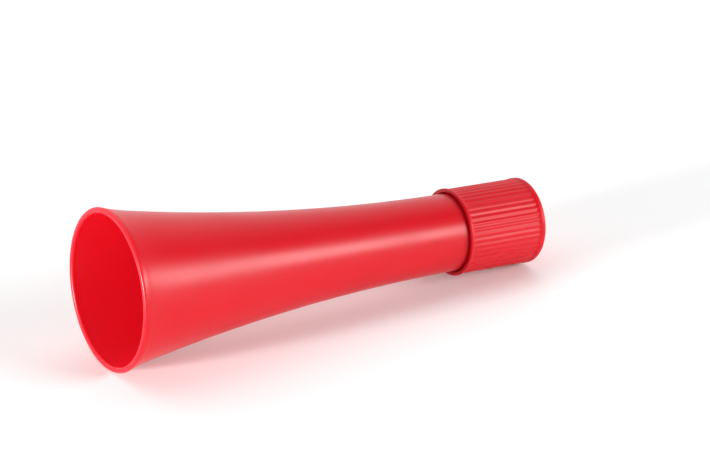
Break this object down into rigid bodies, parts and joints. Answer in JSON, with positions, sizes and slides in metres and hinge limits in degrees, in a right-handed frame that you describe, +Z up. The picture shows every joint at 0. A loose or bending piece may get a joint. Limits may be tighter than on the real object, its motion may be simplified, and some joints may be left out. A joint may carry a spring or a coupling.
{
  "type": "funnel",
  "caption": "Trumpet-shaped plastic pouring funnel lying on its side, with a threaded nozzle closed by a deep ribbed screw cap.",
  "frame": {"origin": "centre of the bounding box on the ground plane, under the funnel lying on its side", "axes": "+X runs along the funnel from its mouth to its cap, +Z is up; the funnel's own axis dips 4.3 degrees below +X, because the lip and the cap's edge both rest on the ground"},
  "size_m": [0.2191, 0.072, 0.0718],
  "materials": {
    "funnel_body": "semi-gloss moulded polypropylene, red",
    "screw_cap": "semi-gloss moulded polypropylene, red, straight grip ribs",
    "cap_liner": "off-white expanded polyethylene foam"
  },
  "bodies": {
    "funnel": {"funnel_body": "funnel_body"},
    "cap_carrier": {"cap_liner": "cap_liner"},
    "cap": {"screw_cap": "screw_cap"}
  },
  "joints": [
    {"name": "cap_travel", "type": "slide", "parent": "funnel", "child": "cap_carrier", "axis": [0.9971, 0, -0.0755], "range_m": [0, 0.013]},
    {"name": "cap_turn", "type": "hinge", "parent": "cap_carrier", "child": "cap", "pos_m": [0.06717, 0, 0.0228], "axis": [0.9971, 0, -0.0755], "range_deg": [0, 936]}
  ],
  "couplings": [
    {"joint": "cap_travel", "follows": "cap_turn", "m_per_rad": 0.00079577}
  ]
}
